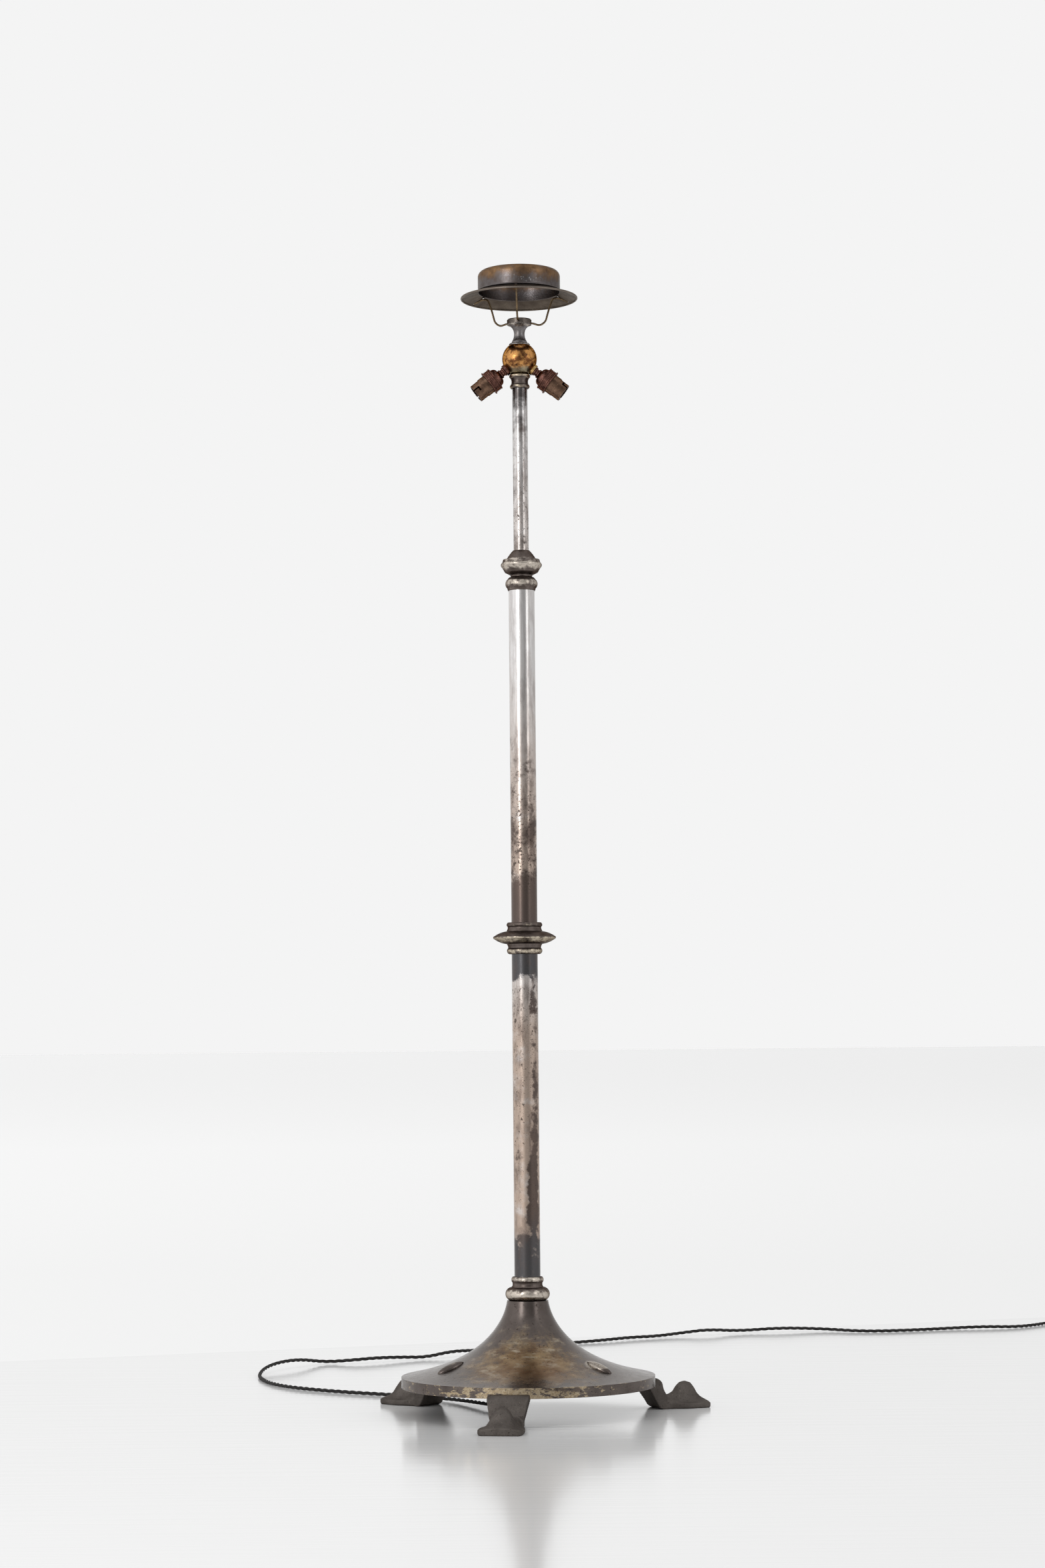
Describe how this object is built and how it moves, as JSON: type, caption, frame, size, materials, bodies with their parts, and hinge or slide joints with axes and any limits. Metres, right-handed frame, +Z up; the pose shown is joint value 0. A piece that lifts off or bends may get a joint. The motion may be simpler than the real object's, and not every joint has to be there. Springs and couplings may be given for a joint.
{
  "type": "telescopic standard lamp",
  "caption": "Tall free-standing lamp: sliding stem with clamp nut, angled bayonet lampholders on a ball, wire-armed shade gallery, domed base on cast feet.",
  "frame": {"origin": "on the floor under the axis of the column", "axes": "+Z up along the column; the lampholders lie in the X-Z plane, one towards -X and one towards +X"},
  "size_m": [1.6928, 1.9385, 1.6773],
  "materials": {
    "base_brass": "cast, patinated dark, rubbed bright along the rim",
    "ballast_iron": "as cast",
    "brass": "plain turned",
    "bright_brass": "polished",
    "ebonite": "satin black",
    "foot_iron": "dark bronzed casting",
    "steel": "plain",
    "collar_brass": "tarnished, beads rubbed bright",
    "silver_lower": "worn silver plate with dark tarnish",
    "silver_upper": "worn silver plate with dark tarnish",
    "silver_stem": "silver plate with black specks",
    "ball_brass": "mottled golden brown",
    "gunmetal": "dark gunmetal with a golden shoulder",
    "wire_brass": "olive drawn wire",
    "holder_bronze": "antique bronze",
    "porcelain": "glazed",
    "flex": "braided black cotton over twisted cores",
    "plug_plastic": "moulded black"
  },
  "bodies": {
    "base_and_column": {"base_shell": "base_brass", "ballast_weight": "ballast_iron", "base_spigot": "brass", "base_nut": "brass", "base_washer": "brass", "cord_bush": "ebonite", "strain_relief": "ebonite", "foot_1": "foot_iron", "foot_2": "foot_iron", "foot_3": "foot_iron", "foot_screws": "steel", "base_collar": "collar_brass", "column_plug": "brass", "lower_column": "silver_lower", "middle_collar": "collar_brass", "upper_column": "silver_upper", "column_cap": "collar_brass", "clamp_collet": "brass", "column_flex": "flex", "mains_cord": "flex", "plug_cover": "plug_plastic", "plug_base": "plug_plastic", "plug_pins": "brass", "plug_screw": "brass"},
    "stem_guide": {"stem_guide": "brass"},
    "stem": {"stem": "silver_stem", "guide_clip": "steel", "stem_nipple": "brass", "stem_collar": "collar_brass", "cluster_ball": "ball_brass", "ball_neck": "collar_brass", "carrier_hub": "gunmetal", "hub_screw": "steel", "carrier_arm_1": "wire_brass", "carrier_arm_2": "wire_brass", "carrier_arm_3": "wire_brass", "gallery_crown": "gunmetal", "gallery_brim": "gunmetal", "stem_flex": "flex", "left_lock_ring": "holder_bronze", "left_holder_nipple": "holder_bronze", "left_holder_cap": "holder_bronze", "left_holder_barrel": "holder_bronze", "left_insulator": "porcelain", "left_plunger_springs": "steel", "left_holder_leads": "flex", "right_lock_ring": "bright_brass", "right_holder_nipple": "holder_bronze", "right_holder_cap": "holder_bronze", "right_holder_barrel": "holder_bronze", "right_insulator": "porcelain", "right_plunger_springs": "steel", "right_holder_leads": "flex"},
    "clamp_nut": {"clamp_nut": "collar_brass"},
    "left_shade_ring": {"left_shade_ring": "holder_bronze"},
    "left_plunger_lower": {"left_plunger_lower": "brass"},
    "left_plunger_upper": {"left_plunger_upper": "brass"},
    "right_shade_ring": {"right_shade_ring": "holder_bronze"},
    "right_plunger_lower": {"right_plunger_lower": "brass"},
    "right_plunger_upper": {"right_plunger_upper": "brass"}
  },
  "joints": [
    {"name": "stem_slide", "type": "slide", "parent": "base_and_column", "child": "stem_guide", "axis": [0, 0, 1], "range_m": [-0.235, 0.35], "deforming": ["column_flex"]},
    {"name": "stem_turn", "type": "hinge", "parent": "stem_guide", "child": "stem", "pos_m": [0, 0, 0.824], "axis": [0, 0, 1], "range_deg": [-180, 180]},
    {"name": "clamp_nut_turn", "type": "hinge", "parent": "base_and_column", "child": "clamp_nut", "pos_m": [0, 0, 1.235], "axis": [0, 0, 1], "range_deg": [-90, 180]},
    {"name": "left_shade_ring_turn", "type": "hinge", "parent": "stem", "child": "left_shade_ring", "pos_m": [-0.0405, 0, 1.51625], "axis": [-0.788, 0, -0.6157], "range_deg": [-180, 180]},
    {"name": "left_plunger_lower_slide", "type": "slide", "parent": "stem", "child": "left_plunger_lower", "axis": [-0.788, 0, -0.6157], "range_m": [-0.0035, 0], "stiffness_N_per_m": 1200, "springref_m": 0.002},
    {"name": "left_plunger_upper_slide", "type": "slide", "parent": "stem", "child": "left_plunger_upper", "axis": [-0.788, 0, -0.6157], "range_m": [-0.0035, 0], "stiffness_N_per_m": 1200, "springref_m": 0.002},
    {"name": "right_shade_ring_turn", "type": "hinge", "parent": "stem", "child": "right_shade_ring", "pos_m": [0.0405, 0, 1.51625], "axis": [0.788, 0, -0.6157], "range_deg": [-180, 180]},
    {"name": "right_plunger_lower_slide", "type": "slide", "parent": "stem", "child": "right_plunger_lower", "axis": [0.788, 0, -0.6157], "range_m": [-0.0035, 0], "stiffness_N_per_m": 1200, "springref_m": 0.002},
    {"name": "right_plunger_upper_slide", "type": "slide", "parent": "stem", "child": "right_plunger_upper", "axis": [0.788, 0, -0.6157], "range_m": [-0.0035, 0], "stiffness_N_per_m": 1200, "springref_m": 0.002}
  ]
}
